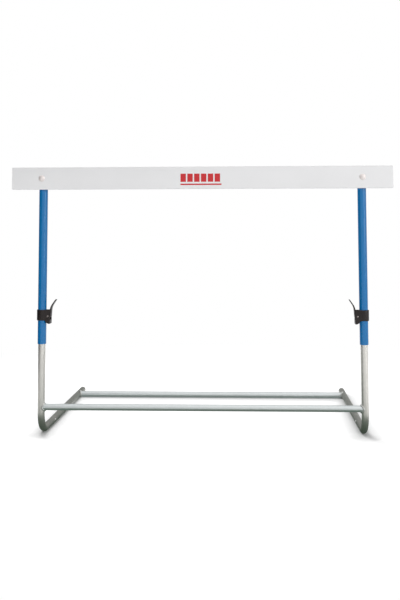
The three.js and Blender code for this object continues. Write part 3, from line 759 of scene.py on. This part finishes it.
parts = add_node(tree, "ShaderNodeSeparateXYZ", {"Vector": place}).outputs
half_mark = MARK_PITCH * MARK_BLOCKS / 2
along = inside_band(tree, parts["X"], -half_mark, half_mark)
height = add_math(tree, "SUBTRACT", parts["Z"], board_low.z)
from_mark_start = add_math(tree, "ADD", parts["X"], half_mark)
pitches = add_math(tree, "DIVIDE", from_mark_start, MARK_PITCH)
block = add_math(tree, "LESS_THAN", add_math(tree, "FRACT", pitches), MARK_BLOCK_SHARE)
blocks = add_math(tree, "MULTIPLY", block, inside_band(tree, height, MARK_LOW, MARK_HIGH))
rule = inside_band(tree, height, RULE_LOW, RULE_HIGH)
on_face = add_math(tree, "LESS_THAN", parts["Y"], board_low.y + BOARD_EDGE / 4)
printed = add_math(tree, "MULTIPLY", along, add_math(tree, "MAXIMUM", blocks, rule))
mark = add_math(tree, "MULTIPLY", printed, on_face)
lines = add_noise(tree, place, DIE_LINE_WIDTH, detail=2.0, stretch=(DIE_LINE_STRETCH, 1, 1))
ground = add_mix(tree, add_noise(tree, place, BOARD_CLOUD), BOARD_DARK, BOARD_LIGHT)
tree.links.new(add_mix(tree, mark, ground, MARK_RED), shader.inputs["Base Color"])
tree.links.new(noise_to(tree, lines, BOARD_SMOOTHEST, BOARD_ROUGHEST), shader.inputs["Roughness"])
add_bump(tree, shader, lines, DIE_LINE_DEPTH)


def soften(bm, width, segments=2, sharpest=40):
    """Rounds the edges that are sharper than an angle in degrees."""
    edges = [e for e in bm.edges if e.is_manifold and e.calc_face_angle() > radians(sharpest)]
    bmesh.ops.bevel(
        bm, geom=edges, offset=width, offset_type="OFFSET", affect="EDGES", segments=segments, profile=0.5,
        material=-1, clamp_overlap=True,
    )


bm = bmesh.new()
size = board_high - board_low
bmesh.ops.create_cube(bm, size=1.0)
bmesh.ops.scale(bm, vec=size, verts=bm.verts)
bmesh.ops.translate(bm, vec=(board_low + board_high) / 2, verts=bm.verts)
corners = [e for e in bm.edges if abs(e.verts[0].co.y - e.verts[1].co.y) > size.y / 2]
bmesh.ops.bevel(
    bm, geom=corners, offset=BOARD_CORNER, offset_type="OFFSET", affect="EDGES", segments=5, profile=0.5,
    material=-1,
)
soften(bm, BOARD_EDGE, segments=3, sharpest=60)
add_piece("board_lath", bm, "upper", "hurdle_board", board_white)

# Board bolts
# A coach bolt goes through the board and the blue tube on each side. Its mushroom head has a thin rim, and
# the threaded end stands past the nut. Its thick, matt zinc coat took on a faint pink in the weather.
BOLT_RADIUS = 0.004
BOLT_RIM = 0.0007
THREAD_PITCH = 0.00125
THREAD_DEPTH = 0.0006
THREAD_LENGTH = 0.014
COAT_LIGHT = srgb("eee8e6")
COAT_DARK = srgb("e3d9d6")

bolt_low, bolt_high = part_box("left_board_bolt")
bolt_centre = Vector((upright_x, 0, (bolt_low.z + bolt_high.z) / 2))
bolt_head_radius = (bolt_high.z - bolt_low.z) / 2


def board_bolt_shape():
    bm = bmesh.new()
    seat = board_low.y + SEAT_LIFT
    head = dome(bolt_head_radius, seat - BOLT_RIM - bolt_low.y, BOLT_RIM - seat)
    outline = [(radius, -reach) for radius, reach in reversed(head)]
    outline += [(bolt_head_radius, seat), (BOLT_RADIUS, seat)]
    turns = int(THREAD_LENGTH / THREAD_PITCH)
    start = bolt_high.y - turns * THREAD_PITCH
    for i in range(turns):
        outline.append((BOLT_RADIUS, start + i * THREAD_PITCH))
        outline.append((BOLT_RADIUS - THREAD_DEPTH, start + (i + 0.5) * THREAD_PITCH))
    outline += [(BOLT_RADIUS - THREAD_DEPTH, bolt_high.y), (0, bolt_high.y)]
    turned(bm, outline, bolt_centre, (0, 1, 0))
    return bm


matt_zinc = clouded_metal(
    "weathered_zinc_coat", COAT_LIGHT, COAT_DARK, patch=0.004, smoothest=0.45, roughest=0.55,
    grain=FINE_GRAIN, depth=FINE_GRAIN_DEPTH, metallic=0.45,
)
add_pair("board_bolt_turned", board_bolt_shape, "upper", "board_bolt", matt_zinc, crease=40)

# Saddle washers
# A moulded nylon saddle seats each bolt on the round back of the blue tube. One side is hollowed to the
# tube's round and the other is flat for the washer.
SADDLE_EDGE = 0.0008
ARC_STEPS = 16

saddle_low, saddle_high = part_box("left_saddle_washer")


def saddle_shape():
    bm = bmesh.new()
    half = (saddle_high.x - saddle_low.x) / 2
    reach = atan2(half, sqrt(outer_radius ** 2 - half ** 2))
    outline = []
    for i in range(ARC_STEPS + 1):
        angle = reach * (2 * i / ARC_STEPS - 1)
        x = upright_x + outer_radius * sin(angle)
        outline.append(bm.verts.new((x, upright_y + outer_radius * cos(angle), saddle_low.z)))
    for x in (saddle_high.x, saddle_low.x):
        outline.append(bm.verts.new((x, saddle_high.y, saddle_low.z)))
    foot = bm.faces.new(outline)
    made = bmesh.ops.extrude_face_region(bm, geom=[foot])["geom"]
    top = [g for g in made if isinstance(g, bmesh.types.BMVert)]
    bmesh.ops.translate(bm, vec=(0, 0, saddle_high.z - saddle_low.z), verts=top)
    bmesh.ops.recalc_face_normals(bm, faces=bm.faces)
    soften(bm, SADDLE_EDGE)
    return bm


add_pair("saddle_block", saddle_shape, "upper", "saddle_washer", black_nylon)

# Washers and nuts
# Behind each saddle come a plain pressed washer and a hexagon nut with a round crown. Both are steel with
# bright, slightly cloudy zinc plating.
WASHER_EDGE = 0.0003
NUT_CHAMFER = 0.0009
NUT_ACROSS_FLATS = 0.013
NUT_CROWN_RADIUS = 0.0058
NUT_STEPS = 72
WASHER_CLEARANCE = 0.0002
STEEL_LIGHT = srgb("e6e4e4")
STEEL_DARK = srgb("cfcccc")

plated_steel = clouded_metal(
    "zinc_plated_steel", STEEL_LIGHT, STEEL_DARK, patch=0.004, smoothest=0.42, roughest=0.5,
    grain=FINE_GRAIN, depth=FINE_GRAIN_DEPTH,
)
washer_low, washer_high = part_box("left_flat_washer")
nut_low, nut_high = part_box("left_board_nut")


def flat_washer_shape():
    bm = bmesh.new()
    radius = (washer_high.x - washer_low.x) / 2
    bore = BOLT_RADIUS + WASHER_CLEARANCE
    outline = [
        (bore, washer_low.y), (radius, washer_low.y), (radius, washer_high.y), (bore, washer_high.y),
        (bore, washer_low.y),
    ]
    turned(bm, outline, bolt_centre, (0, 1, 0))
    soften(bm, WASHER_EDGE, sharpest=60)
    return bm


def board_nut_shape():
    bm = bmesh.new()
    flat = NUT_ACROSS_FLATS / 2
    corner = flat / cos(pi / 6)
    crown = nut_high.y - (nut_high.y - nut_low.y) / 4
    bore = BOLT_RADIUS - THREAD_DEPTH
    outline = [
        (bore, nut_low.y), (flat, nut_low.y),
        (corner, nut_low.y + NUT_CHAMFER), (corner, crown - NUT_CHAMFER),
        (flat, crown), (NUT_CROWN_RADIUS, crown),
        (NUT_CROWN_RADIUS, nut_high.y - NUT_CHAMFER / 2), (NUT_CROWN_RADIUS - NUT_CHAMFER / 2, nut_high.y),
        (BOLT_RADIUS, nut_high.y), (bore, nut_high.y - NUT_CHAMFER),
        (bore, nut_low.y),
    ]
    turned(bm, outline, bolt_centre, (0, 1, 0), steps=NUT_STEPS)
    for v in bm.verts:
        out = Vector((v.co.x - bolt_centre.x, 0, v.co.z - bolt_centre.z))
        past_flat = atan2(out.z, out.x) % (pi / 3) - pi / 6
        reach = flat / cos(past_flat)
        if out.length > reach:
            v.co -= out * (1 - reach / out.length)
    return bm


add_pair("flat_washer_disc", flat_washer_shape, "upper", "flat_washer", plated_steel)
add_pair("board_nut_hexagon", board_nut_shape, "upper", "board_nut", plated_steel, crease=20)

# Clamp collars
# Each collar is one glass-filled nylon moulding: a ring on the blue tube, and two cheeks that carry the
# lever. Its edges are rounded as the mould leaves them.
COLLAR_EDGE = 0.0003
LOOSE_DISTANCE = 1e-5
FLAT_ANGLE = 1


def merged_copy(node):
    """A copy of a solid of the construction, its loose triangles joined and its flat faces made whole."""
    bm = bmesh.new()
    bm.from_mesh(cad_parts[node].data)
    bmesh.ops.remove_doubles(bm, verts=bm.verts, dist=LOOSE_DISTANCE)
    bmesh.ops.dissolve_limit(bm, angle_limit=radians(FLAT_ANGLE), verts=bm.verts, edges=bm.edges)
    return bm


def collar_shape():
    bm = merged_copy("left_clamp_collar")
    soften(bm, COLLAR_EDGE)
    return bm


add_pair(
    "clamp_collar_moulding", collar_shape, "upper", "clamp_collar", black_nylon, crease=30
)

# Collar screws and clamp pins
# A pan-head screw behind each collar fixes it to the blue tube. The lever turns on a solid rivet of dull
# steel, which shows as a bright dot on each cheek.
SCREW_SEAT_DEPTH = 0.0028
PIN_HEAD_EDGE = 0.0003
PIN_HEAD_HEIGHT = 0.0014
PIN_SHANK_RADIUS = 0.002
PIN_TURN_STEPS = 40
RIVET_STEEL_LIGHT = srgb("a59c9a")
RIVET_STEEL_DARK = srgb("857c7a")

screw_low, screw_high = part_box("left_collar_screw")
pin_low, pin_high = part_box("left_clamp_pin")


def collar_screw_shape():
    bm = bmesh.new()
    radius = (screw_high.x - screw_low.x) / 2
    centre = Vector((upright_x, 0, (screw_low.z + screw_high.z) / 2))
    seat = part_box("left_clamp_collar")[1].y - SCREW_SEAT_DEPTH
    outline = [(0, screw_low.y), (radius / 2, screw_low.y), (radius / 2, seat), (radius, seat)]
    outline += dome(radius, screw_high.y - seat - PIN_HEAD_EDGE, seat + PIN_HEAD_EDGE)
    turned(bm, outline, centre, (0, 1, 0), steps=SMALL_TURN_STEPS)
    return bm


def clamp_pin_shape():
    bm = bmesh.new()
    radius = (pin_high.x - pin_low.x) / 2
    centre = (pin_low + pin_high) / 2
    half = (pin_high.y - pin_low.y) / 2
    seat = half - PIN_HEAD_HEIGHT
    head = dome(radius, half - seat - PIN_HEAD_EDGE, seat + PIN_HEAD_EDGE)
    outline = [(r, -reach) for r, reach in reversed(head)]
    outline += [(radius, -seat), (PIN_SHANK_RADIUS, -seat), (PIN_SHANK_RADIUS, seat), (radius, seat), *head]
    turned(bm, outline, centre, (0, 1, 0), steps=PIN_TURN_STEPS)
    return bm


add_pair("collar_screw_pan", collar_screw_shape, "upper", "collar_screw", plated_steel)

dull_steel = clouded_metal(
    "dull_rivet_steel", RIVET_STEEL_LIGHT, RIVET_STEEL_DARK, patch=0.002, smoothest=0.45, roughest=0.55,
    grain=FINE_GRAIN, depth=FINE_GRAIN_DEPTH,
)
add_pair("clamp_pin_rivet", clamp_pin_shape, "upper", "clamp_pin", dull_steel)

# Clamp levers
# The lever is moulded in the same nylon. Its cam presses the brake shoe, and its curved handle stands away
# from the blue tube, so that a thumb can pull it down.
LEVER_EDGE = 0.0006


def lever_shape():
    bm = merged_copy("left_clamp_lever")
    soften(bm, LEVER_EDGE)
    return bm


add_pair(
    "clamp_lever_moulding", lever_shape, "{}_lever", "clamp_lever", black_nylon, crease=30
)

# Brake shoes
# A rubber shoe in the blue tube's window grips the base tube. Little of it shows, so the construction's own
# solid stays, in matt black rubber.
RUBBER_LIGHT = srgb("33312e")
RUBBER_DARK = srgb("242220")

brake_rubber = moulded_plastic("brake_rubber", RUBBER_LIGHT, RUBBER_DARK, rough=0.8, grain_size=0.0015)
for side in ("left", "right"):
    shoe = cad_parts[side + "_brake_shoe"]
    shoe.data.materials.clear()
    shoe.data.materials.append(brake_rubber)
